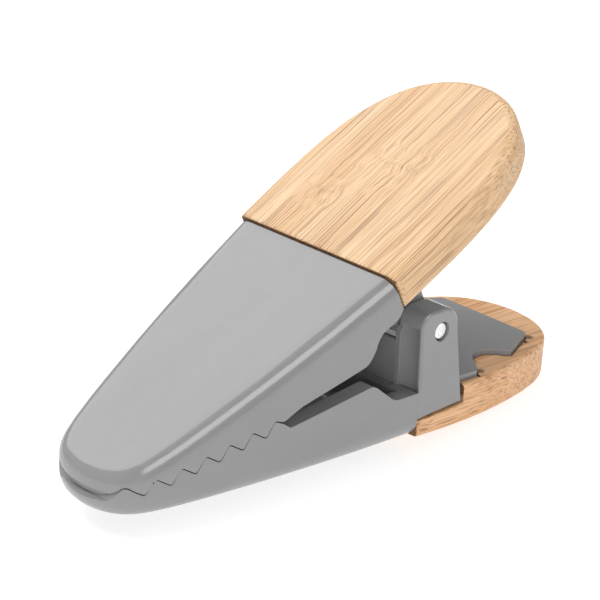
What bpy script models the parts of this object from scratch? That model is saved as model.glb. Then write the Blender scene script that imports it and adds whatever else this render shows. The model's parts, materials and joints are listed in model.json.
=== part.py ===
"""Bag clip: two grey moulded jaws on a cross pin, with a torsion spring and two bamboo grips.

Lengths in the constants are millimetres, in frames that all turn about the pin's axis: +X runs to
the grips, +Y across the clip and +Z up. LOWER is upright, with the lower jaw's underside level.
UPPER is turned by JAW_ANGLE, so that its +X rises with the upper jaw. BITE lies half way between
them, along the line where the jaws meet. Each grip is splayed a little more than its jaw.
The world's origin is on the lower jaw's flat underside, PIN_X in front of the pin.
"""

import math

import bmesh
import bpy
from mathutils import Matrix

JAW_ANGLE = math.radians(25.04)
UPPER_SPLAY = math.radians(1.0)
LOWER_SPLAY = math.radians(4.0)
GAP = 0.25

# Jaws. Outlines are half widths that depend on the distance from the seam with the grip.
JAW_HALF_WIDTH = 21.22
JAW_TAPER = 0.0842
JAW_TAPER_2 = 0.00114
UPPER_JAW_LENGTH = 64.85
UPPER_JAW_TIP_POWER = 23
UPPER_JAW_RADIUS = 3.5
UPPER_SEAM_X = -6.65
UPPER_TOP_Z = 18.7
UPPER_WALL = 2.6
LOWER_JAW_LENGTH = 66.7
LOWER_JAW_TIP_POWER = 18.5
LOWER_JAW_RADIUS = 4.7
LOWER_SEAM_X = -5.8
LOWER_BOTTOM_Z = -21.2
LOWER_WALL = 3.4
SKIN = 2.2
END_WALL = 2.0
CAVITY_RADIUS = 1.6

PIN_X = 10.0
PIN_Z = -LOWER_BOTTOM_Z

# Teeth, in the BITE frame
TOOTH_PITCH = 5.0
TOOTH_HEIGHT = 2.2
TOOTH_COUNT = 7
TOOTH_BLUNT = 0.35
FIRST_TOOTH_X = -70.3
TOOTH_MID_Z = 0.1

# Grips, each in its own splayed frame: (half width, swell, swell squared, tip power, length)
UPPER_GRIP_PLAN = (21.26, 1.34, 4.53, 2.7, 51.42)
LOWER_GRIP_PLAN = (21.0, 3.9, -11.6, 12, 52.3)
UPPER_GRIP_SEAM_X = -6.3
LOWER_GRIP_SEAM_X = -4.8
UPPER_GRIP_TOP_Z = 19.45
UPPER_GRIP_INNER_Z = 11.9
LOWER_GRIP_INNER_Z = -12.95
LOWER_GRIP_BOTTOM_Z = -21.2
GRIP_OUTER_RADIUS = 2.2
GRIP_INNER_RADIUS = 0.9
LOWER_GRIP_RADIUS = 0.9
UPPER_GRIP_CORNER_RADIUS = 1.3
LOWER_GRIP_CORNER_RADIUS = 0.5

# Tongues that carry the grips, half let into them. Their outline is given for +Y.
TONGUE_PROUD = 1.05
POCKET_DEPTH = 0.9
TONGUE_SHOULDER = (13.8, 19.4)
TONGUE_WAIST = (21.7, 17.7)
TONGUE_WAIST_RADIUS = 5.0
TONGUE_FIN = (27.4, 16.3)
TONGUE_END = (37.6, 12.2)
TONGUE_END_RADIUS = 1.5
POCKET_CORNERS = ((13.9, 19.6), (16.3, 16.2), (35.4, 13.2))
POCKET_CORNER_RADIUS = 0.55

# Hinge
PIN_RADIUS = 1.75
PIN_HALF_LENGTH = 20.7
PIN_CHAMFER = 0.3
EAR_INNER_Y = 14.7
EAR_OUTER_Y = 21.18
EAR_FRONT_X = -5.35
EAR_TOP_Z = 4.7
EAR_FOOT_Z = -17.1
EAR_FOOT_X = 7.06
EAR_RIM_RADIUS = 0.7
LUG_INNER_Y = 11.2
LUG_OUTER_Y = 14.2
LUG_RADIUS = 3.6

# Cross wall between the ears, and the channel and the rib on each ear's front
WALL_TOP_Z = -2.35
WALL_FOOT_Z = -11.6
CHANNEL_WIDTH = 4.6
CHANNEL_DEPTH = 0.45
RIB_WIDTH = 1.1
RIB_TOP_Z = 1.1

# Spring
WIRE_RADIUS = 0.8
COIL_RADIUS = 3.4
COIL_TURNS = 7
COIL_PITCH = 2.0
LEG_REACH = 19.0
STEPS_PER_TURN = 16


def mm(value):
    return value * 0.001


# ---------------------------------------------------------------- outlines


def turned(points, angle):
    """Points (x, z) turned about the pin so that +X rises."""
    c, s = math.cos(angle), math.sin(angle)
    return [(x * c - z * s, x * s + z * c) for x, z in points]


def bite_to_lower(points):
    return turned(points, JAW_ANGLE / 2)


def bite_to_upper(points):
    return turned(points, -JAW_ANGLE / 2)


def jaw_plan(length, power, seam_x, start):
    """Outline (x, y) of a jaw, from the distance start to the nose."""

    def half_width(distance):
        straight = JAW_HALF_WIDTH - JAW_TAPER * distance - JAW_TAPER_2 * distance**2
        return straight * math.sqrt(1 - (distance / length) ** power)

    return plan(half_width, length, seam_x, -1, start)


def upper_jaw_plan(start):
    return jaw_plan(UPPER_JAW_LENGTH, UPPER_JAW_TIP_POWER, UPPER_SEAM_X, start)


def lower_jaw_plan(start):
    return jaw_plan(LOWER_JAW_LENGTH, LOWER_JAW_TIP_POWER, LOWER_SEAM_X, start)


def grip_plan(shape, seam_x):
    """Outline (x, y) of a grip, from well before the seam to its round end."""
    width, swell, swell_2, power, length = shape

    def half_width(distance):
        t = distance / length
        return (width + swell * t + swell_2 * t**2) * math.sqrt(1 - t**power)

    return plan(half_width, length, seam_x, 1, -6.0)


def plan(half_width, length, seam_x, direction, start):
    """Outline (x, y) from the distance start, which may lie before the seam, to the rounded tip."""
    samples = 900
    side = [(start, half_width(max(start, 0)))]
    for i in range(samples + 1):
        distance = length * math.sin(math.pi / 2 * i / samples)
        if distance > start:
            side.append((distance, half_width(distance)))
    side = [(seam_x + direction * distance, y) for distance, y in thinned(side)]
    return [(x, -y) for x, y in side] + [(x, y) for x, y in reversed(side[:-1])]


def thinned(points, longest=5.0, turn=math.radians(5.5)):
    """Keeps the points that a curve needs, close together only where it bends."""
    kept = [points[0]]
    heading = None
    for here, after in zip(points[1:], points[2:]):
        step = math.atan2(after[1] - here[1], after[0] - here[0])
        if heading is None:
            heading = step
        if abs(step - heading) > turn or math.dist(here, kept[-1]) > longest:
            kept.append(here)
            heading = step
    return kept + [points[-1]]


def inset(outline, distance):
    """A closed outline moved in by a distance, or out where it is negative, with mitred corners."""
    area = sum(a[0] * b[1] - b[0] * a[1] for a, b in zip(outline, outline[1:] + outline[:1]))
    signed = distance if area > 0 else -distance
    moved = []
    for i, (x, y) in enumerate(outline):
        before = normal(outline[i - 1], (x, y))
        after = normal((x, y), outline[(i + 1) % len(outline)])
        share = 1 + before[0] * after[0] + before[1] * after[1]
        moved.append(
            (
                x + signed * (before[0] + after[0]) / share,
                y + signed * (before[1] + after[1]) / share,
            )
        )
    return moved


def normal(start, end):
    length = math.dist(start, end)
    return (start[1] - end[1]) / length, (end[0] - start[0]) / length


def arc(centre, radius, first, last, steps):
    """Points on an arc between two angles in degrees."""
    angles = [math.radians(first + (last - first) * i / steps) for i in range(steps + 1)]
    return [(centre[0] + radius * math.cos(a), centre[1] + radius * math.sin(a)) for a in angles]


def tongue(start_x):
    """Outline (x, y) of a tongue: shoulders, round waists, fins and slanted corners."""
    shoulder_x, shoulder_y = TONGUE_SHOULDER
    waist = arc(TONGUE_WAIST, TONGUE_WAIST_RADIUS, 200, 334, 9)
    end_x, end_y = TONGUE_END
    centre = (end_x - TONGUE_END_RADIUS, end_y - TONGUE_END_RADIUS)
    end = arc(centre, TONGUE_END_RADIUS, 68, 0, 4)
    shoulder = [(start_x, shoulder_y), (shoulder_x, shoulder_y), (shoulder_x + 0.8, shoulder_y - 0.7)]
    side = shoulder + waist + [TONGUE_FIN] + end
    return [(x, -y) for x, y in side] + side[::-1]


# ---------------------------------------------------------------- solids


def flat(name, outline, low, high, across=False, parent=None, collection=None):
    """An outline given thickness from low to high, along Z, or along Y where across is set."""
    curve = bpy.data.curves.new(name, "CURVE")
    curve.dimensions = "2D"
    curve.fill_mode = "BOTH"
    curve.extrude = mm(high - low) / 2
    spline = curve.splines.new("POLY")
    spline.points.add(len(outline) - 1)
    for point, (a, b) in zip(spline.points, outline):
        point.co = (mm(a), mm(b), 0, 1)
    spline.use_cyclic_u = True
    guide = bpy.data.objects.new(f"{name}_outline", curve)
    middle = mm(low + high) / 2
    if across:
        guide.matrix_world = Matrix.Translation((0, middle, 0)) @ Matrix.Rotation(math.pi / 2, 4, "X")
    else:
        guide.matrix_world = Matrix.Translation((0, 0, middle))
    return mesh_object(name, guide, parent, collection or TOOLS)


def mesh_object(name, guide, parent, collection):
    """Replaces a curve by a mesh object with welded caps."""
    PARTS.objects.link(guide)
    graph = bpy.context.evaluated_depsgraph_get()
    mesh = bpy.data.meshes.new_from_object(guide.evaluated_get(graph))
    mesh.name = name
    mesh.transform(guide.matrix_world)
    bpy.data.objects.remove(guide)
    bm = bmesh.new()
    bm.from_mesh(mesh)
    bmesh.ops.remove_doubles(bm, verts=bm.verts, dist=1e-6)
    bmesh.ops.dissolve_limit(bm, angle_limit=math.radians(0.2), verts=bm.verts, edges=bm.edges)
    bmesh.ops.recalc_face_normals(bm, faces=bm.faces)
    bm.to_mesh(mesh)
    bm.free()
    return placed(name, mesh, parent, collection)


def placed(name, mesh, parent, collection):
    obj = bpy.data.objects.new(name, mesh)
    obj.parent = parent
    collection.objects.link(obj)
    if collection == TOOLS:
        obj.hide_render = True
        obj.display_type = "WIRE"
    return obj


def round_rims(obj, axis, radii, segments):
    """Rounds the rims that lie at the given levels along an axis, each by its own radius."""
    widest = max(radii.values())
    weights = obj.data.attributes.new("bevel_weight_edge", "FLOAT", "EDGE")
    for edge in obj.data.edges:
        ends = [obj.data.vertices[i].co[axis] for i in edge.vertices]
        for level, radius in radii.items():
            if all(abs(end - mm(level)) < 1e-6 for end in ends):
                weights.data[edge.index].value = radius / widest
    modifier = obj.modifiers.new("rim", "BEVEL")
    modifier.limit_method = "WEIGHT"
    modifier.width = mm(widest)
    modifier.segments = segments
    modifier.use_clamp_overlap = False


def cylinder(name, radius, half_length, parent=None, collection=None):
    """A round bar along Y, about the pin axis."""
    bm = bmesh.new()
    bmesh.ops.create_cone(
        bm,
        cap_ends=True,
        segments=32,
        radius1=mm(radius),
        radius2=mm(radius),
        depth=mm(2 * half_length),
        matrix=Matrix.Rotation(math.pi / 2, 4, "X"),
    )
    mesh = bpy.data.meshes.new(name)
    bm.to_mesh(mesh)
    bm.free()
    return placed(name, mesh, parent, collection or TOOLS)


def combine(obj, other, operation):
    modifier = obj.modifiers.new(f"{operation} {other.name}", "BOOLEAN")
    modifier.operation = operation
    modifier.solver = "EXACT"
    modifier.object = other


def cut(obj, other):
    combine(obj, other, "DIFFERENCE")


def add(obj, other):
    combine(obj, other, "UNION")


def box_profile(low_x, low_z, high_x, high_z):
    return [(low_x, low_z), (high_x, low_z), (high_x, high_z), (low_x, high_z)]


def both_sides(inner_y, outer_y):
    """(name, low, high) for the near and the far side."""
    return (("near", -outer_y, -inner_y), ("far", inner_y, outer_y))


# ---------------------------------------------------------------- the mouth, in the BITE frame


def teeth_line(shift):
    """(x, z) along the teeth, from beyond the nose, moved by shift in z."""
    peak = TOOTH_MID_Z + TOOTH_HEIGHT / 2 + shift
    valley = TOOTH_MID_Z - TOOTH_HEIGHT / 2 + shift
    flat_z = TOOTH_HEIGHT * TOOTH_BLUNT / TOOTH_PITCH
    points = [(-95.0, valley), (FIRST_TOOTH_X - TOOTH_PITCH / 2, valley)]
    for i in range(TOOTH_COUNT):
        x = FIRST_TOOTH_X + i * TOOTH_PITCH
        points += [(x - TOOTH_BLUNT, peak - flat_z), (x, peak), (x + TOOTH_BLUNT, peak - flat_z)]
        if i < TOOTH_COUNT - 1:
            low_x = x + TOOTH_PITCH / 2
            points += [(low_x - TOOTH_BLUNT, valley + flat_z), (low_x, valley)]
            points += [(low_x + TOOTH_BLUNT, valley + flat_z)]
    return points


def upper_mouth():
    """The upper jaw's lower edge: teeth, skirt and the lobe that hangs before the hinge."""
    skirt = [(-38.7, 0.35), (-38.0, 0.45), (-36.9, 0.8), (-34.2, 1.45), (-31.0, 1.7), (-19.9, 2.3)]
    slant = [(-18.9, 2.45), (-18.2, 2.85), (-17.2, 3.95), (-16.1, 5.5), (-15.1, 6.85), (-14.4, 7.45)]
    lobe = [(-13.4, 7.75), (-11.6, 8.15), (-10.7, 8.45), (-10.0, 8.95), (-9.45, 9.6), (-9.05, 10.1)]
    return teeth_line(GAP / 2) + skirt + slant + lobe


def lower_mouth():
    """The lower jaw's upper edge: teeth, rail, and the notch before the ear."""
    rail = [(-38.7, -0.1), (-38.0, -0.95), (-37.5, -1.5), (-37.0, -1.65), (-28.5, -2.0), (-18.8, -2.5)]
    notch = [(-18.1, -2.75), (-17.4, -3.4), (-14.5, -7.4), (-13.7, -8.15), (-12.9, -8.5), (-7.4, -9.75)]
    notch.append((-2.0, -10.95))
    return teeth_line(-GAP / 2) + rail + notch


# ---------------------------------------------------------------- jaws


def make_upper_jaw(jaw_frame, grip_frame):
    jaw = flat("upper_jaw", upper_jaw_plan(-6.0), -25.0, UPPER_TOP_Z, parent=jaw_frame, collection=PARTS)
    round_rims(jaw, 2, {UPPER_TOP_Z: UPPER_JAW_RADIUS}, 9)

    edge = bite_to_upper(upper_mouth())
    end_z = edge[-1][1]
    below = edge + [(15.0, end_z), (15.0, -60.0), (-95.0, -60.0)]
    cut(jaw, flat("upper_mouth_cut", below, -40, 40, across=True, parent=jaw_frame))
    behind = box_profile(UPPER_SEAM_X, -60, 20, 60)
    cut(jaw, flat("upper_seam_cut", behind, -40, 40, across=True, parent=jaw_frame))

    roof = UPPER_TOP_Z - SKIN
    hollow = inset(upper_jaw_plan(END_WALL), UPPER_WALL)
    cavity = flat("upper_cavity", hollow, -40, roof, parent=jaw_frame)
    round_rims(cavity, 2, {roof: CAVITY_RADIUS}, 3)
    cut(jaw, cavity)

    under = UPPER_GRIP_INNER_Z - TONGUE_PROUD
    inner = JAW_HALF_WIDTH - UPPER_WALL
    window = box_profile(UPPER_SEAM_X - END_WALL - UPPER_WALL - 1, -60, UPPER_SEAM_X + 3, under)
    cut(jaw, flat("upper_window", window, -inner, inner, across=True, parent=jaw_frame))

    top = UPPER_GRIP_INNER_Z + POCKET_DEPTH - GAP
    add(jaw, flat("upper_tongue", tongue(UPPER_GRIP_SEAM_X - 2), under, top, parent=grip_frame))
    for side, low, high in both_sides(LUG_INNER_Y, LUG_OUTER_Y):
        lug = lug_profile(under + 0.6)
        add(jaw, flat(f"upper_lug_{side}", lug, low, high, across=True, parent=jaw_frame))
    cut(jaw, cylinder("upper_pin_bore", PIN_RADIUS + GAP, 18.0, parent=jaw_frame))
    return jaw


def lug_profile(root_z):
    """Side outline of a lug: a round eye on the pin that widens forward, up to the tongue."""
    eye = arc((0, 0), LUG_RADIUS, 0, -170, 10)
    return eye + [(-4.2, 2.0), (-7.4, root_z - 3.0), (-7.8, root_z), (LUG_RADIUS, root_z)]


def make_lower_jaw(jaw_frame, grip_frame):
    jaw = flat("lower_jaw", lower_jaw_plan(-6.0), LOWER_BOTTOM_Z, 25.0, parent=jaw_frame, collection=PARTS)
    round_rims(jaw, 2, {LOWER_BOTTOM_Z: LOWER_JAW_RADIUS}, 9)

    above = bite_to_lower(lower_mouth()) + [(15.0, -10.0), (15.0, 60.0), (-95.0, 60.0)]
    cut(jaw, flat("lower_mouth_cut", above, -40, 40, across=True, parent=jaw_frame))
    behind = box_profile(LOWER_SEAM_X, -60, 20, 60)
    cut(jaw, flat("lower_seam_cut", behind, -40, 40, across=True, parent=jaw_frame))

    floor = LOWER_BOTTOM_Z + SKIN
    hollow = inset(lower_jaw_plan(END_WALL - LOWER_WALL), LOWER_WALL)
    cavity = flat("lower_cavity", hollow, floor, 40, parent=jaw_frame)
    round_rims(cavity, 2, {floor: CAVITY_RADIUS}, 3)
    cut(jaw, cavity)
    step = box_profile(LOWER_SEAM_X - END_WALL - 1, WALL_FOOT_Z, 0, 0)
    step_y = EAR_INNER_Y + 0.3
    cut(jaw, flat("end_wall_step", step, -step_y, step_y, across=True, parent=jaw_frame))

    top = LOWER_GRIP_INNER_Z + TONGUE_PROUD
    bottom = LOWER_GRIP_INNER_Z - POCKET_DEPTH + GAP
    add(jaw, flat("lower_tongue", tongue(LOWER_GRIP_SEAM_X - 0.6), bottom, top, parent=grip_frame))
    wall_y = EAR_INNER_Y + 0.5
    add(jaw, flat("cross_wall", wall_profile(), -wall_y, wall_y, across=True, parent=jaw_frame))
    for side, low, high in both_sides(EAR_INNER_Y, EAR_OUTER_Y):
        add(jaw, make_ear(side, low, high, jaw_frame))
    cut(jaw, cylinder("lower_pin_bore", PIN_RADIUS + GAP, 30.0, parent=jaw_frame))
    return jaw


def wall_profile():
    """Side outline of the cross wall, which leans back a little from its foot on the tongue."""
    front = EAR_FRONT_X - 0.15
    low = WALL_FOOT_Z - 1.0
    top = [(front - 0.4, WALL_TOP_Z), (front - 0.1, WALL_TOP_Z + 0.25), (front + 0.8, WALL_TOP_Z + 0.1)]
    return [(front, low)] + top + [(front + 1.3, WALL_TOP_Z - 1.0), (front + 1.5, low)]


def make_ear(side, low, high, jaw_frame):
    """An ear with rounded rims, a shallow channel down its front and a rib along the inner edge."""
    sign = 1 if side == "far" else -1
    ear = flat(f"ear_{side}", ear_profile(), low, high, across=True, parent=jaw_frame)
    round_rims(ear, 1, {low: EAR_RIM_RADIUS, high: EAR_RIM_RADIUS}, 3)
    middle = sign * (EAR_INNER_Y + RIB_WIDTH + CHANNEL_WIDTH / 2)
    radius = (CHANNEL_WIDTH**2 / 4 + CHANNEL_DEPTH**2) / (2 * CHANNEL_DEPTH)
    centre = (EAR_FRONT_X + CHANNEL_DEPTH - radius, middle)
    round_outline = arc(centre, radius, 0, 360, 60)[:-1]
    cut(ear, flat(f"channel_{side}", round_outline, LOWER_BOTTOM_Z, 1.6, parent=jaw_frame))
    rib_low, rib_high = sorted((sign * (EAR_INNER_Y + 0.05), sign * (EAR_INNER_Y + RIB_WIDTH)))
    add(ear, flat(f"rib_{side}", rib_profile(), rib_low, rib_high, across=True, parent=jaw_frame))
    return ear


def rib_profile():
    """Side outline of the rib: it stands proud of the ear's front and ends in a round cap."""
    proud = 0.55
    reach = proud + 1.0
    cap = arc((EAR_FRONT_X + 1.0, RIB_TOP_Z - reach), reach, 90, 176, 6)
    foot = [(EAR_FRONT_X - proud - 0.3, EAR_FOOT_Z + 3), (EAR_FRONT_X + 1.0, EAR_FOOT_Z + 3)]
    return cap + foot


def ear_profile():
    """Side outline of an ear with its foot, rounded over the pin."""
    front_radius = 2.6
    rear_radius = 4.2
    front = arc((EAR_FRONT_X + front_radius, EAR_TOP_Z - front_radius), front_radius, 90, 180, 8)
    rear = arc((0.5, EAR_TOP_Z - 0.1 - rear_radius), rear_radius, -7, 88, 10)
    toe_x = LOWER_SEAM_X - 0.6
    toe = [(EAR_FRONT_X, -10.0), (toe_x, -11.5), (toe_x, EAR_FOOT_Z)]
    return front + toe + [(EAR_FOOT_X, EAR_FOOT_Z)] + rear


# ---------------------------------------------------------------- grips


def make_upper_grip(jaw_frame, grip_frame):
    inner = UPPER_GRIP_INNER_Z
    outline = grip_plan(UPPER_GRIP_PLAN, UPPER_GRIP_SEAM_X)
    grip = flat("upper_grip", outline, inner, UPPER_GRIP_TOP_Z, parent=grip_frame, collection=PARTS)
    round_rims(grip, 2, {UPPER_GRIP_TOP_Z: GRIP_OUTER_RADIUS, inner: GRIP_INNER_RADIUS}, 6)
    saw_front(grip, UPPER_SEAM_X, UPPER_GRIP_PLAN[0], UPPER_GRIP_CORNER_RADIUS, jaw_frame)
    cut_pocket(grip, UPPER_GRIP_SEAM_X, inner - 3, inner + POCKET_DEPTH, grip_frame)
    return grip


def make_lower_grip(jaw_frame, grip_frame):
    inner = LOWER_GRIP_INNER_Z
    outline = grip_plan(LOWER_GRIP_PLAN, LOWER_GRIP_SEAM_X)
    grip = flat("lower_grip", outline, LOWER_GRIP_BOTTOM_Z, inner, parent=grip_frame, collection=PARTS)
    round_rims(grip, 2, {LOWER_GRIP_BOTTOM_Z: LOWER_GRIP_RADIUS, inner: LOWER_GRIP_RADIUS}, 4)
    saw_front(grip, LOWER_SEAM_X, LOWER_GRIP_PLAN[0], LOWER_GRIP_CORNER_RADIUS, jaw_frame)
    cut_pocket(grip, LOWER_GRIP_SEAM_X, inner - POCKET_DEPTH, inner + 3, grip_frame)
    rebate = box_profile(LOWER_SEAM_X - 3, EAR_FOOT_Z - GAP, EAR_FOOT_X + GAP, 0)
    for side, low, high in both_sides(EAR_INNER_Y - GAP, 30.0):
        cut(grip, flat(f"lower_rebate_{side}", rebate, low, high, across=True, parent=jaw_frame))
    return grip


def saw_front(grip, seam_x, half_width, radius, jaw_frame):
    """Cuts a grip's front end square to its jaw, GAP behind the seam, with its two corners eased."""
    corner_x = seam_x + GAP + radius
    near = arc((corner_x, radius - half_width), radius, 270, 180, 4)
    far = arc((corner_x, half_width - radius), radius, 180, 90, 4)
    outline = [(seam_x - 20, -60), (corner_x, -60)] + near + far + [(corner_x, 60), (seam_x - 20, 60)]
    cut(grip, flat(f"{grip.name}_front_cut", outline, -60, 60, parent=jaw_frame))


def cut_pocket(grip, seam_x, low, high, grip_frame):
    """Lets the tongue into a grip, with the router's round marks left at the pocket's corners."""
    pocket = inset(tongue(seam_x - 3), -GAP)
    cut(grip, flat(f"{grip.name}_pocket", pocket, low, high, parent=grip_frame))
    for number, (x, y) in enumerate(POCKET_CORNERS):
        for side, sign in (("near", -1), ("far", 1)):
            mark = arc((x, sign * y), POCKET_CORNER_RADIUS, 0, 360, 10)[:-1]
            name = f"{grip.name}_corner_{number}_{side}"
            cut(grip, flat(name, mark, low + 0.05, high - 0.05, parent=grip_frame))


# ---------------------------------------------------------------- hinge


def make_pin(jaw_frame):
    pin = cylinder("hinge_pin", PIN_RADIUS, PIN_HALF_LENGTH, parent=jaw_frame, collection=PARTS)
    round_rims(pin, 1, {PIN_HALF_LENGTH: PIN_CHAMFER, -PIN_HALF_LENGTH: PIN_CHAMFER}, 2)
    return pin


def make_spring(jaw_frame):
    """Wire wound on the pin, one leg on the lower tongue and the other under the upper one."""
    curve = bpy.data.curves.new("torsion_spring", "CURVE")
    curve.dimensions = "3D"
    curve.bevel_depth = mm(WIRE_RADIUS)
    curve.bevel_resolution = 2
    curve.use_fill_caps = True
    path = spring_path()
    spline = curve.splines.new("POLY")
    spline.points.add(len(path) - 1)
    for point, (x, y, z) in zip(spline.points, path):
        point.co = (mm(x), mm(y), mm(z), 1)
    guide = bpy.data.objects.new("spring_path", curve)
    return mesh_object("torsion_spring", guide, jaw_frame, PARTS)


def spring_path():
    half = COIL_TURNS * COIL_PITCH / 2
    reach = TONGUE_PROUD + GAP + WIRE_RADIUS
    lower_leg = leg(LOWER_GRIP_INNER_Z + reach, -LOWER_SPLAY)
    upper_leg = leg(UPPER_GRIP_INNER_Z - reach, JAW_ANGLE + UPPER_SPLAY)
    first = math.radians(-138)
    last = math.radians(138) + JAW_ANGLE
    total = last - first + (COIL_TURNS - 1) * math.tau
    steps = COIL_TURNS * STEPS_PER_TURN
    coil = []
    for i in range(steps + 1):
        angle = first + total * i / steps
        y = 2 * half * i / steps - half
        coil.append((COIL_RADIUS * math.cos(angle), y, COIL_RADIUS * math.sin(angle)))
    start = [(x, -half, z) for x, z in lower_leg]
    end = [(x, half, z) for x, z in reversed(upper_leg)]
    return start + coil + end


def leg(rest_z, angle):
    """(x, z) of a leg from its free end to where it leaves the tongue for the coil."""
    return turned([(LEG_REACH, rest_z), (LEG_REACH - 4.0, rest_z)], angle)


# ---------------------------------------------------------------- materials


def principled(name, colour, roughness, metallic=0.0):
    material = bpy.data.materials.new(name)
    material.use_nodes = True
    shader = material.node_tree.nodes["Principled BSDF"]
    shader.inputs["Base Color"].default_value = (*colour, 1)
    shader.inputs["Roughness"].default_value = roughness
    shader.inputs["Metallic"].default_value = metallic
    material.diffuse_color = (*colour, 1)
    return material


def finish(obj, material):
    obj.data.materials.append(material)
    obj.data.shade_smooth()
    obj.data.set_sharp_from_angle(angle=math.radians(32))


# ---------------------------------------------------------------- assembly

for old in list(bpy.data.objects):
    bpy.data.objects.remove(old)

PARTS = bpy.data.collections.new("bag_clip")
TOOLS = bpy.data.collections.new("bag_clip_tools")
bpy.context.scene.collection.children.link(PARTS)
bpy.context.scene.collection.children.link(TOOLS)
TOOLS.hide_render = True

def empty(name, parent, turn=0.0):
    """A frame about the pin's axis, turned so that its +X rises."""
    frame = bpy.data.objects.new(name, None)
    frame.parent = parent
    frame.rotation_euler.y = -turn
    PARTS.objects.link(frame)
    return frame


lower_half = empty("lower_half", None)
lower_half.location = (mm(PIN_X), 0, mm(PIN_Z))
lower_board = empty("lower_board", lower_half, -LOWER_SPLAY)
upper_half = empty("upper_half", lower_half, JAW_ANGLE)
upper_board = empty("upper_board", upper_half, UPPER_SPLAY)

grey = principled("grey_abs", (0.40, 0.40, 0.40), 0.28)
light_bamboo = principled("light_bamboo", (0.82, 0.62, 0.38), 0.5)
warm_bamboo = principled("warm_bamboo", (0.74, 0.48, 0.24), 0.5)
steel = principled("steel", (0.75, 0.75, 0.76), 0.3, 1.0)
spring_steel = principled("spring_steel", (0.62, 0.62, 0.63), 0.35, 1.0)

finish(make_upper_jaw(upper_half, upper_board), grey)
finish(make_upper_grip(upper_half, upper_board), light_bamboo)
finish(make_lower_jaw(lower_half, lower_board), grey)
finish(make_lower_grip(lower_half, lower_board), warm_bamboo)
finish(make_pin(lower_half), steel)
finish(make_spring(lower_half), spring_steel)
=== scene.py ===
"""Looks of the bag clip: moulded grey jaws, bamboo grips, a steel pin and a wound wire spring.

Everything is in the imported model's frame, in metres. The hinge pin's axis runs along Y through PIN.
The patterns of the bamboo are laid out in each board's own frame, in millimetres from the pin:
U along the board towards its tail, V across the clip and W through the thickness.
"""

import json
import math

import bmesh
import bpy
from mathutils import Matrix, Vector

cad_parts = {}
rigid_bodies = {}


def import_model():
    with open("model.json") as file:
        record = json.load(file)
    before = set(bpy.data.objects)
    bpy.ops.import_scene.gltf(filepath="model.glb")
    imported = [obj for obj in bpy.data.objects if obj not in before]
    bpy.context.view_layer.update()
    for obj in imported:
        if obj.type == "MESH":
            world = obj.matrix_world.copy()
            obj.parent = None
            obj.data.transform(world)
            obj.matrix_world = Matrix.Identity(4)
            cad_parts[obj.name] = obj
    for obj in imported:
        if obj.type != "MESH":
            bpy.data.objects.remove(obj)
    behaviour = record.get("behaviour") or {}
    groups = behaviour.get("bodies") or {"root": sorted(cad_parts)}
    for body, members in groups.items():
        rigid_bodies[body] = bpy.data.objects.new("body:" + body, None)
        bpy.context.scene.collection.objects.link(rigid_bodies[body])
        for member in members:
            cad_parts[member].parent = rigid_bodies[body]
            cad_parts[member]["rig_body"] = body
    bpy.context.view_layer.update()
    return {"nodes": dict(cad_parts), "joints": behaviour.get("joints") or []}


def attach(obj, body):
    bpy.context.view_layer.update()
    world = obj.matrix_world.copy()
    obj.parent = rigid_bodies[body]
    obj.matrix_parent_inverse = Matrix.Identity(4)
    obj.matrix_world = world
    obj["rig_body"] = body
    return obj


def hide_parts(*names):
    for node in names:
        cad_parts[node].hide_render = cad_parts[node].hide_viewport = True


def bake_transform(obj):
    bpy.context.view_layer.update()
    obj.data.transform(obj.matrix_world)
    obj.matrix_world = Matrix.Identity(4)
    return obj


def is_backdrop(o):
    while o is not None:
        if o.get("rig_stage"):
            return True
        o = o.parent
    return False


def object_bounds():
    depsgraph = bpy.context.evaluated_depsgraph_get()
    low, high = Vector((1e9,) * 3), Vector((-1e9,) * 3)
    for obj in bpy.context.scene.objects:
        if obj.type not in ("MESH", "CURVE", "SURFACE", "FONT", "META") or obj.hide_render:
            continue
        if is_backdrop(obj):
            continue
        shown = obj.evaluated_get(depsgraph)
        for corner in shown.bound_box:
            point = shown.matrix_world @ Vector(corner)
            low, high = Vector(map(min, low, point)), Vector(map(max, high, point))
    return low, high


MM = 0.001
JAW_ANGLE = math.radians(25.04)
UPPER_BOARD_ANGLE = JAW_ANGLE + math.radians(1.0)
LOWER_BOARD_ANGLE = -math.radians(4.0)

# Rounds on the CAD pieces, in metres.
WELD = 1e-6
FLAT_ANGLE = math.radians(0.6)
SHARP_ANGLE = math.radians(35)
UPPER_JAW_ROUND = 0.00020
LOWER_JAW_ROUND = 0.00030
PIN_ROUND = 0.00012
BOARD_ROUND = 0.00018
ROUND_SEGMENTS = 2
FLAT_WEIGHT = 80
MOUTH_CENTRE_X = -0.02
TONGUE_CLEAR_X = 0.022
TONGUE_CEILING = 0.0105
TONGUE_SHARE = 0.5

# How far the parts of a normal may lean when an edge is picked for rounding.
MOUTH_WALL_LEAN = 0.3
MOUTH_LIP_LEVEL = 0.4
MOUTH_LIP_SKEW = 0.2
TONGUE_TOP_LEVEL = 0.95
TONGUE_WALL_LEAN = 0.1

# The spring about the pin, in millimetres.
WIRE_RADIUS = 0.8
WIRE_ROUNDNESS = 3
COIL_RADIUS = 3.4
COIL_HALF = 7.0
COIL_TURNS = 7
COIL_STEPS = 48
COIL_START = -math.radians(138)
LEG_NEAR_U = 15.0
LEG_FAR_U = 19.0
LOWER_LEG_W = -10.85
UPPER_LEG_W = 9.8

# Plastic and metal: the two colours that each is mixed from.
PLASTIC_TONES = ((0.216, 0.217, 0.219, 1), (0.236, 0.237, 0.239, 1))
SCUFF_TONE = (0.42, 0.42, 0.42, 1)
STEEL_TONES = ((0.80, 0.80, 0.81, 1), (0.50, 0.50, 0.51, 1))
WIRE_TONES = ((0.56, 0.56, 0.55, 1), (0.36, 0.31, 0.26, 1))

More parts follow.
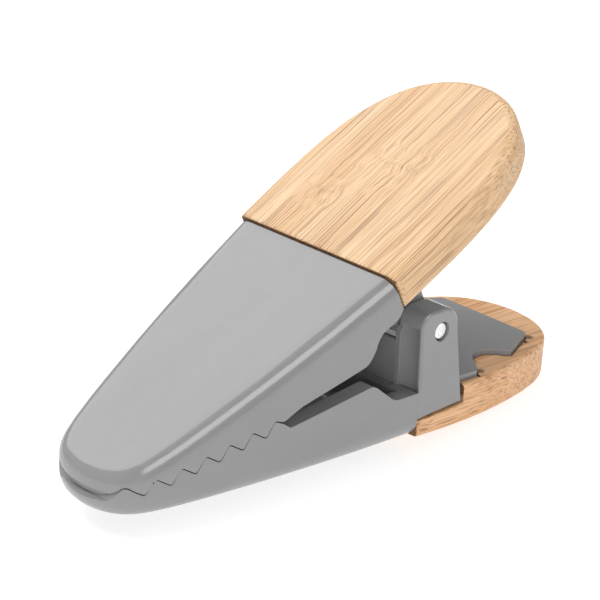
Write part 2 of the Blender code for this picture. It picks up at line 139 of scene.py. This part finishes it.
# Bamboo: each board's pale, warm and bundle colours. Lengths are in millimetres, but relief in metres.
UPPER_TONES = ((0.72, 0.505, 0.300, 1), (0.63, 0.385, 0.190, 1), (0.15, 0.050, 0.012, 1))
LOWER_TONES = ((0.78, 0.480, 0.265, 1), (0.64, 0.325, 0.130, 1), (0.12, 0.035, 0.008, 1))
# Char on sawn and routed faces, also used for the painted shade spots at the lower board's tongue corners.
CHAR_AND_SHADE_TONES = ((0.035, 0.018, 0.009, 1), (0.24, 0.120, 0.050, 1))
WIDEST_V = 25
KNOT_LENGTH = 6.0
GRAIN_RELIEF = 0.00012

# The camera's place from the pin in metres, the directions of its picture, and the stage.
CAMERA_PLACE = (-0.322298, -0.306384, 0.197266)
CAMERA_RIGHT = (0.716717, -0.69686, 0.026522)
CAMERA_UP = (0.26662, 0.30897, 0.91294)
CAMERA_LENS = 149.3
CAMERA_SENSOR = 36
CAMERA_REACH = 20
FLOOR_GAP = 0.0003
FLOOR_HALF = 4
FLOOR_GLOW = 0.72
SKY = 0.36
PAPER_TONES = ((0.42, 0.42, 0.42, 1), (0.46, 0.46, 0.46, 1))
# Each panel: name, place from the pin, width and height in metres, watts, and the kind of ray that
# doesn't see it.
PANELS = (
    ("stripe_box", (-0.06, -0.49, 0.57), 0.85, 0.42, 6.0, "visible_diffuse"),
    ("back_panel", (0.10, 0.65, 0.76), 0.9, 0.8, 6.0, None),
    ("top_box", (-0.36, 0.30, 1.10), 0.6, 0.6, 7.8, "visible_glossy"),
    ("front_fill", (-0.62, -0.60, 0.22), 0.35, 0.3, 3.4, "visible_glossy"),
    ("rear_fill", (0.80, -0.35, 0.40), 0.5, 0.4, 2.4, "visible_glossy"),
)

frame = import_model()
PIN = Vector(frame["joints"][0]["pos_m"])


# ---------------------------------------------------------------- shader nodes


class Tree:
    """A material's node tree, with one call for each kind of node that the looks use."""

    def __init__(self, name):
        self.material = bpy.data.materials.new(name)
        self.material.use_nodes = True
        self.tree = self.material.node_tree
        self.shader = self.tree.nodes["Principled BSDF"]

    def node(self, kind, inputs=(), **settings):
        made = self.tree.nodes.new(kind)
        for key, value in settings.items():
            setattr(made, key, value)
        for key, value in dict(inputs).items():
            self.plug(made.inputs[key], value)
        return made

    def plug(self, socket, value):
        if isinstance(value, bpy.types.NodeSocket):
            self.tree.links.new(value, socket)
        else:
            socket.default_value = value

    def math(self, operation, a, b=0.0, c=0.0):
        made = self.node("ShaderNodeMath", {0: a, 1: b, 2: c}, operation=operation)
        return made.outputs[0]

    def noise(self, vector, scale=1.0, detail=2.0, roughness=0.5):
        inputs = {"Vector": vector, "Scale": scale, "Detail": detail, "Roughness": roughness}
        return self.node("ShaderNodeTexNoise", inputs).outputs[0]

    def stretched(self, vector, scale):
        made = self.node("ShaderNodeVectorMath", {0: vector, 1: scale}, operation="MULTIPLY")
        return made.outputs[0]

    def step(self, value, low, high, out_low=0.0, out_high=1.0):
        """value eased from out_low at low to out_high at high."""
        inputs = {"Value": value, "From Min": low, "From Max": high, "To Min": out_low, "To Max": out_high}
        made = self.node("ShaderNodeMapRange", inputs, interpolation_type="SMOOTHSTEP")
        return made.outputs[0]

    def mix(self, factor, a, b):
        made = self.node("ShaderNodeMix", data_type="RGBA")
        self.plug(made.inputs[0], factor)
        self.plug(made.inputs[6], a)
        self.plug(made.inputs[7], b)
        return made.outputs[2]

    def ramp(self, value, stops, interpolation="LINEAR"):
        made = self.node("ShaderNodeValToRGB", {0: value})
        ramp = made.color_ramp
        ramp.interpolation = interpolation
        for _ in stops[2:]:
            ramp.elements.new(0.5)
        for element, (place, colour) in zip(ramp.elements, stops):
            element.position = place
            element.color = colour
        return made.outputs[0]

    def bump(self, height, strength, distance, normal=None):
        inputs = {"Strength": strength, "Distance": distance, "Height": height}
        made = self.node("ShaderNodeBump", inputs)
        if normal is not None:
            self.plug(made.inputs["Normal"], normal)
        return made.outputs[0]

    def place(self, angle):
        """Position in millimetres in a frame at the pin, turned so that its +X rises by angle."""
        point = self.node("ShaderNodeTexCoord").outputs["Object"]
        inputs = {"Vector": point, "Location": PIN, "Rotation": (0, -angle, 0), "Scale": (MM, MM, MM)}
        return self.node("ShaderNodeMapping", inputs, vector_type="TEXTURE").outputs[0]

    def split(self, vector):
        return self.node("ShaderNodeSeparateXYZ", {0: vector}).outputs[:3]

    def join(self, x, y, z):
        return self.node("ShaderNodeCombineXYZ", {0: x, 1: y, 2: z}).outputs[0]

    def finish(self, **inputs):
        for key, value in inputs.items():
            self.plug(self.shader.inputs[key.replace("_", " ")], value)
        return self.material


def grey(value):
    return (value, value, value, 1)


# ---------------------------------------------------------------- moulded plastic


def plastic_material(name, angle):
    """Glossy moulded ABS: faint flow marks, a fine skin and hairline scuffs from handling."""
    t = Tree(name)
    place = t.place(angle)
    flow = t.noise(t.stretched(place, (0.05, 0.16, 0.16)), 1.0, 3)
    cloud = t.noise(place, 0.45, 4, 0.6)
    skin = t.noise(place, 9.0, 2)
    colour = t.ramp(t.math("MULTIPLY_ADD", cloud, 0.35, t.math("MULTIPLY", flow, 0.65)), [
        (0.25, PLASTIC_TONES[0]),
        (0.75, PLASTIC_TONES[1]),
    ])
    turned_place = {"Vector": place, "Rotation": (0, 0, 0.5), "Scale": (0.5, 9, 9)}
    scuff_place = t.node("ShaderNodeMapping", turned_place).outputs[0]
    scuff = t.step(t.noise(scuff_place, 1.0, 2), 0.66, 0.78)
    scuff = t.math("MULTIPLY", scuff, t.step(cloud, 0.45, 0.65))
    colour = t.mix(t.math("MULTIPLY", scuff, 0.10), colour, SCUFF_TONE)
    roughness = t.math("ADD", t.step(cloud, 0.3, 0.7, 0.09, 0.14), t.math("MULTIPLY", scuff, 0.14))
    normal = t.bump(skin, 0.05, 0.0002)
    normal = t.bump(flow, 0.10, 0.0006, normal)
    return t.finish(Base_Color=colour, Roughness=roughness, Normal=normal, IOR=1.5)


# ---------------------------------------------------------------- bamboo


def bamboo_material(name, angle, seed, front_u, tones, strips, knots, shade_spots):
    """Laminated bamboo: long fibre bundles that show as lines along a face and as dots on an end.

    front_u is the end at the jaw. strips holds (v edge, tone shift) of each glued strip, knots (u, v,
    reach across) of each culm node, and the last list holds (u, v, w, radius) of each spot of painted
    shade, coloured like char.
    """
    pale, warm, bundle_colour = tones
    t = Tree(name)
    place = t.place(angle)
    u, v, w = t.split(place)

    # The grain bends where a culm node crosses the board.
    near_knots = 0.0
    for knot_u, knot_v, reach in knots:
        along = t.math("DIVIDE", t.math("SUBTRACT", u, knot_u), KNOT_LENGTH)
        across = t.math("DIVIDE", t.math("SUBTRACT", v, knot_v), reach)
        across = t.math("POWER", t.math("ABSOLUTE", across), 4.0)
        distance = t.math("ADD", t.math("MULTIPLY", along, along), across)
        near = t.math("EXPONENT", t.math("MULTIPLY", distance, -1.0))
        near_knots = t.math("ADD", near_knots, near)
    sway = t.noise(t.join(t.math("MULTIPLY", u, 0.17), t.math("MULTIPLY", v, 0.16), seed), 1.0, 1)
    drift = t.noise(t.join(t.math("MULTIPLY", u, 0.03), t.math("MULTIPLY", v, 0.10), seed + 4.0), 1.0, 1)
    swing = t.math("MULTIPLY_ADD", near_knots, 4.2, 0.25)
    bend = t.math("MULTIPLY", t.math("SUBTRACT", sway, 0.5), swing)
    bend = t.math("ADD", bend, t.math("MULTIPLY", t.math("SUBTRACT", drift, 0.5), 1.2))
    v_bent = t.math("ADD", v, bend)
    w_bent = t.math("ADD", w, t.math("MULTIPLY", bend, 0.4))

    # Each strip has its own tone, and its bundles crowd towards one side of it.
    strip_stops = [((edge + WIDEST_V) / (2 * WIDEST_V), grey(shift)) for edge, shift in strips]
    across_board = t.math("DIVIDE", t.math("ADD", v, WIDEST_V), 2 * WIDEST_V)
    strip = t.ramp(across_board, strip_stops, "CONSTANT")
    strip_seed = t.math("MULTIPLY", strip, 37.0)

    def grain(u_scale, scale, offset):
        return t.join(t.math("MULTIPLY_ADD", u, u_scale, t.math("ADD", strip_seed, offset)),
                      t.math("MULTIPLY", v_bent, scale), t.math("MULTIPLY", w_bent, scale))

    def bundles(u_scale, scale, offset, radius, share):
        """Lengths and cut ends of fibre bundles, in this share of the cells and up to this radius."""
        cells = t.node("ShaderNodeTexVoronoi", {"Vector": grain(u_scale, scale, offset), "Scale": 1.0})
        inside = t.step(cells.outputs["Distance"], radius, radius * 0.6)
        chosen = t.split(cells.outputs["Color"])
        kept = t.step(chosen[0], 1 - share, 1 - share + 0.12)
        depth = t.step(chosen[1], 0.0, 1.0, 0.55, 1.0)
        return t.math("MULTIPLY", inside, t.math("MULTIPLY", kept, depth))

    crowd = t.step(t.noise(grain(0.006, 0.16, seed), 1.0, 2), 0.40, 0.62)
    crowding = t.math("MULTIPLY_ADD", crowd, 0.70, 0.30)
    coarse = t.math("MULTIPLY", bundles(0.016, 1.8, seed, 0.36, 0.60), crowding)
    fine = bundles(0.028, 3.3, seed + 9.0, 0.40, 0.70)
    hair = t.noise(grain(0.05, 4.2, seed), 1.0, 3, 0.6)
    broad = t.noise(grain(0.012, 0.55, seed + 2.0), 1.0, 3, 0.55)

    tone = t.math("MULTIPLY_ADD", strip, 0.5, t.math("MULTIPLY", broad, 0.8))
    base = t.mix(t.step(tone, 0.35, 0.95), pale, warm)
    base = t.mix(t.step(hair, 0.38, 0.72, 0.0, 0.42), base, bundle_colour)
    base = t.mix(t.math("MULTIPLY", fine, 0.75), base, bundle_colour)
    base = t.mix(coarse, base, bundle_colour)

    # A culm node is a ragged, speckled line across the fibres.
    ragged = t.noise(grain(0.3, 1.1, 5.0), 1.0, 3)
    ragged = t.math("MULTIPLY", t.math("SUBTRACT", ragged, 0.5), 3.0)
    line = 0.0
    for knot_u, knot_v, reach in knots:
        offset = t.math("ABSOLUTE", t.math("ADD", t.math("SUBTRACT", u, knot_u), ragged))
        inside = t.step(t.math("ABSOLUTE", t.math("SUBTRACT", v, knot_v)), reach, reach * 0.8)
        line = t.math("ADD", line, t.math("MULTIPLY", t.step(offset, 0.55, 0.1), inside))
    speck = t.step(t.noise(place, 2.6, 2), 0.42, 0.62)
    base = t.mix(t.math("MULTIPLY", line, t.math("MULTIPLY", speck, 0.22)), base, bundle_colour)

    # Saw and router scorch the faces that they leave, and fray the fibres beside them.
    facing = t.node("ShaderNodeTexCoord").outputs["Normal"]
    inputs = {"Vector": facing, "Rotation": (0, angle, 0)}
    in_board = t.node("ShaderNodeMapping", inputs, vector_type="POINT").outputs[0]
    towards_jaw = t.math("MULTIPLY", t.split(in_board)[0], -1.0)
    fray = t.noise(t.stretched(place, (0.5, 3.4, 3.4)), 1.0, 3)
    scorched = t.step(t.math("ADD", towards_jaw, t.math("MULTIPLY", fray, 0.6)), 0.95, 1.2)
    edge = t.math("SUBTRACT", t.math("SUBTRACT", u, front_u), t.step(fray, 0.42, 0.75))
    frayed = t.step(edge, 0.20, -0.1, 0.0, 0.6)
    char_and_shade = t.math("MAXIMUM", scorched, frayed)
    # Painted shade: dark spots at the tongue's corners and in its far notch, where the tongue meets the
    # board.
    for spot_u, spot_v, spot_w, radius in shade_spots:
        ends = {0: place, 1: (spot_u, spot_v, spot_w)}
        away = t.node("ShaderNodeVectorMath", ends, operation="DISTANCE")
        reach = t.math("MULTIPLY_ADD", fray, radius * 1.2, radius * 0.4)
        spot = t.step(t.math("DIVIDE", away.outputs[1], reach), 1.2, 0.5, 0.0, 0.9)
        char_and_shade = t.math("MAXIMUM", char_and_shade, spot)
    # Char on scorched faces and frayed fibres, and the painted shade spots, darken the base.
    base = t.mix(char_and_shade, base, t.mix(t.step(hair, 0.35, 0.65), *CHAR_AND_SHADE_TONES))

    roughness = t.math("ADD", t.step(hair, 0.3, 0.7, 0.46, 0.58), t.math("MULTIPLY", char_and_shade, 0.3))
    normal = t.bump(t.math("ADD", coarse, t.math("MULTIPLY", fine, 0.5)), -0.25, GRAIN_RELIEF)
    normal = t.bump(hair, 0.22, GRAIN_RELIEF, normal)
    return t.finish(Base_Color=base, Roughness=roughness, Normal=normal)


# ---------------------------------------------------------------- steel


def pin_material():
    """Bright rod: drawn along its length, with the turning rings and specks of a peened end."""
    t = Tree("bright_steel")
    place = t.place(0)
    u, _, w = t.split(place)
    radius = t.math("SQRT", t.math("ADD", t.math("MULTIPLY", u, u), t.math("MULTIPLY", w, w)))
    rings = t.math("SINE", t.math("MULTIPLY", radius, 38.0))
    speck = t.step(t.noise(place, 3.2, 4, 0.65), 0.35, 0.75)
    drawn = t.noise(t.stretched(place, (6, 0.2, 6)), 1.0, 3)
    colour = t.mix(t.math("MULTIPLY", speck, 0.35), *STEEL_TONES)
    roughness = t.math("MULTIPLY_ADD", drawn, 0.18, t.math("MULTIPLY_ADD", speck, 0.12, 0.16))
    normal = t.bump(speck, 0.25, 0.00008, t.bump(rings, 0.12, 0.00005))
    return t.finish(Base_Color=colour, Roughness=roughness, Normal=normal, Metallic=1.0)


def wire_material():
    """Spring wire: dull zinc over drawn steel, a little brown where the coil sheds it."""
    t = Tree("spring_wire")
    place = t.place(0)
    drawn = t.noise(t.stretched(place, (1.2, 9, 1.2)), 1.0, 3)
    patch = t.noise(place, 0.9, 4, 0.6)
    colour = t.mix(t.step(patch, 0.5, 0.75, 0.0, 0.6), *WIRE_TONES)
    roughness = t.math("MULTIPLY_ADD", drawn, 0.2, 0.26)
    normal = t.bump(drawn, 0.2, 0.00005)
    return t.finish(Base_Color=colour, Roughness=roughness, Normal=normal, Metallic=1.0)


# ---------------------------------------------------------------- the CAD pieces


def centre(edge):
    return (edge.verts[0].co + edge.verts[1].co) / 2


def upper_jaw_share(edge):
    """The round of the upper jaw runs along the outer edge of its mouth."""
    wall, lip = sorted((face.normal for face in edge.link_faces), key=lambda normal: abs(normal.z))
    middle = centre(edge)
    outward = wall.x * (middle.x - MOUTH_CENTRE_X) + wall.y * middle.y > 0
    upright = abs(wall.z) < MOUTH_WALL_LEAN
    faces_down = lip.z < -MOUTH_LIP_LEVEL and abs(lip.y) < MOUTH_LIP_SKEW
    return 1.0 if outward and upright and faces_down else 0.0


def lower_jaw_share(edge):
    """The round of the lower jaw runs along the top of its tongue, clear of the ears."""
    wall, top = sorted((face.normal for face in edge.link_faces), key=lambda normal: abs(normal.z))
    middle = centre(edge)
    level_top = top.z > TONGUE_TOP_LEVEL and abs(wall.z) < TONGUE_WALL_LEAN
    on_tongue = middle.x > TONGUE_CLEAR_X and middle.z < TONGUE_CEILING
    return TONGUE_SHARE if level_top and on_tongue else 0.0


def whole_share(_edge):
    return 1.0


def eased(node, name, width, share):
    """A copy of a CAD piece with the small rounds that a mould or sanding leaves on its outer edges.

    share gives each sharp outer edge its part of the width, and the rounds stay inside the CAD shape.
    """
    source = frame["nodes"][node]
    bm = bmesh.new()
    bm.from_mesh(source.data)
    bmesh.ops.remove_doubles(bm, verts=bm.verts, dist=WELD)
    bmesh.ops.dissolve_limit(bm, angle_limit=FLAT_ANGLE, verts=bm.verts, edges=bm.edges)
    rounded = bm.edges.layers.float.new("bevel_weight_edge")
    for edge in bm.edges:
        if len(edge.link_faces) == 2 and edge.calc_face_angle() > SHARP_ANGLE:
            edge[rounded] = share(edge) if edge.is_convex else 0.0
            edge.smooth = edge[rounded] > 0
    for face in bm.faces:
        face.smooth = True
    mesh = bpy.data.meshes.new(name)
    bm.to_mesh(mesh)
    bm.free()
    obj = bpy.data.objects.new(name, mesh)
    bpy.context.scene.collection.objects.link(obj)
    bevel = obj.modifiers.new("edges", "BEVEL")
    bevel.width = width
    bevel.segments = ROUND_SEGMENTS
    bevel.limit_method = "WEIGHT"
    # Clamping would take every round down to what the shortest edge allows.
    bevel.use_clamp_overlap = False
    shading = obj.modifiers.new("shading", "WEIGHTED_NORMAL")
    shading.mode = "FACE_AREA_WITH_ANGLE"
    shading.weight = FLAT_WEIGHT
    shading.keep_sharp = True
    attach(obj, source["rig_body"])
    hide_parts(node)
    return obj


def turned(points, angle):
    """Points (x, z) about the pin, turned so that +X rises for a positive angle."""
    c, s = math.cos(angle), math.sin(angle)
    return [(x * c - z * s, x * s + z * c) for x, z in points]


def torsion_spring_wire():
    """The spring's wire in one smooth sweep: its lower leg, its turns round the pin and its upper leg."""
    lower_leg = turned([(LEG_FAR_U, LOWER_LEG_W), (LEG_NEAR_U, LOWER_LEG_W)], LOWER_BOARD_ANGLE)
    upper_leg = turned([(LEG_NEAR_U, UPPER_LEG_W), (LEG_FAR_U, UPPER_LEG_W)], UPPER_BOARD_ANGLE)
    sweep = JAW_ANGLE - 2 * COIL_START + math.tau * (COIL_TURNS - 1)
    steps = COIL_STEPS * COIL_TURNS
    path = [(x, -COIL_HALF, z) for x, z in lower_leg]
    for step in range(steps + 1):
        angle = COIL_START + sweep * step / steps
        y = COIL_HALF * (2 * step / steps - 1)
        path.append((COIL_RADIUS * math.cos(angle), y, COIL_RADIUS * math.sin(angle)))
    path += [(x, COIL_HALF, z) for x, z in upper_leg]

    curve = bpy.data.curves.new("spring_path", "CURVE")
    curve.dimensions = "3D"
    curve.bevel_depth = WIRE_RADIUS * MM
    curve.bevel_resolution = WIRE_ROUNDNESS
    curve.use_fill_caps = True
    spline = curve.splines.new("POLY")
    spline.points.add(len(path) - 1)
    for point, place in zip(spline.points, path):
        point.co = (*(PIN + Vector(place) * MM), 1)
    guide = bpy.data.objects.new("spring_path", curve)
    bpy.context.scene.collection.objects.link(guide)
    graph = bpy.context.evaluated_depsgraph_get()
    mesh = bpy.data.meshes.new_from_object(guide.evaluated_get(graph))
    bpy.data.objects.remove(guide)
    for face in mesh.polygons:
        face.use_smooth = True
    obj = bpy.data.objects.new("torsion_spring_wire", mesh)
    bpy.context.scene.collection.objects.link(obj)
    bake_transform(obj)
    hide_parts("torsion_spring")
    return obj


def paint(obj, material):
    obj.data.materials.clear()
    obj.data.materials.append(material)


# ---------------------------------------------------------------- stage


def make_camera():
    """The viewing angle: from beside the nose and a little above."""
    data = bpy.data.cameras.new("camera")
    data.lens = CAMERA_LENS
    data.sensor_width = CAMERA_SENSOR
    data.clip_end = CAMERA_REACH
    camera = bpy.data.objects.new("camera", data)
    right = Vector(CAMERA_RIGHT)
    back = right.cross(Vector(CAMERA_UP)).normalized()
    up = back.cross(right).normalized()
    axes = Matrix((right.normalized(), up, back)).transposed()
    camera.matrix_world = Matrix.Translation(PIN + Vector(CAMERA_PLACE)) @ axes.to_4x4()
    bpy.context.scene.collection.objects.link(camera)
    bpy.context.scene.camera = camera


def make_floor(z):
    mesh = bpy.data.meshes.new("floor")
    bm = bmesh.new()
    bmesh.ops.create_grid(bm, x_segments=1, y_segments=1, size=FLOOR_HALF)
    bm.to_mesh(mesh)
    bm.free()
    floor = bpy.data.objects.new("floor", mesh)
    floor.location.z = z
    bpy.context.scene.collection.objects.link(floor)
    t = Tree("floor_paper")
    fibre = t.noise(t.node("ShaderNodeTexCoord").outputs["Object"], 900.0, 2)
    paper = t.mix(fibre, *PAPER_TONES)
    glow = {"Emission_Color": grey(1.0), "Emission_Strength": FLOOR_GLOW}
    floor.data.materials.append(t.finish(Base_Color=paper, Roughness=0.9, **glow))
    floor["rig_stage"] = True


def area_light(name, place, width, height, power):
    """A rectangular light that faces the pin."""
    data = bpy.data.lights.new(name, "AREA")
    data.shape = "RECTANGLE"
    data.size = width
    data.size_y = height
    data.energy = power
    light = bpy.data.objects.new(name, data)
    light.location = PIN + place
    light.rotation_euler = (-place).to_track_quat("-Z", "Y").to_euler()
    bpy.context.scene.collection.objects.link(light)
    return light


def make_light():
    world = bpy.data.worlds.new("studio")
    world.use_nodes = True
    background = world.node_tree.nodes["Background"]
    background.inputs["Color"].default_value = grey(1)
    background.inputs["Strength"].default_value = SKY
    bpy.context.scene.world = world
    for name, place, width, height, power, unseen in PANELS:
        light = area_light(name, Vector(place), width, height, power)
        if unseen:
            setattr(light, unseen, False)
    bpy.context.scene.view_settings.view_transform = "Standard"


# ---------------------------------------------------------------- assembly

upper_jaw = eased("upper_jaw", "upper_jaw_moulding", UPPER_JAW_ROUND, upper_jaw_share)
paint(upper_jaw, plastic_material("upper_abs", JAW_ANGLE))
lower_jaw = eased("lower_jaw", "lower_jaw_moulding", LOWER_JAW_ROUND, lower_jaw_share)
paint(lower_jaw, plastic_material("lower_abs", 0))
paint(eased("hinge_pin", "steel_pin", PIN_ROUND, whole_share), pin_material())
paint(torsion_spring_wire(), wire_material())

upper_wood = bamboo_material(
    "upper_bamboo", UPPER_BOARD_ANGLE, seed=3.0, front_u=-6.2, tones=UPPER_TONES,
    strips=[(-25, 0.50), (-13.2, 0.15), (-8.5, 0.55), (-6.2, 0.40), (5.8, 0.62), (13.8, 0.30)],
    knots=[(18.5, 0.0, 6.5), (7.0, 10.0, 4.5)],
    shade_spots=[],
)
lower_wood = bamboo_material(
    "lower_bamboo", LOWER_BOARD_ANGLE, seed=11.0, front_u=-4.7, tones=LOWER_TONES,
    strips=[(-25, 0.45), (-9.0, 0.2), (1.0, 0.6), (11.0, 0.35)],
    knots=[(24.0, 5.0, 6.0)],
    # Painted shade at the tongue's corners and in its far notch.
    shade_spots=[
        (37.9, -12.0, -12.95, 1.2), (18.1, -14.3, -12.95, 1.1),
        (15.8, -18.2, -12.95, 1.2), (36.8, 7.0, -12.95, 2.0),
    ],
)
paint(eased("upper_grip", "upper_bamboo_board", BOARD_ROUND, whole_share), upper_wood)
paint(eased("lower_grip", "lower_bamboo_board", BOARD_ROUND, whole_share), lower_wood)

make_camera()
make_floor(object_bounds()[0].z - FLOOR_GAP)
make_light()
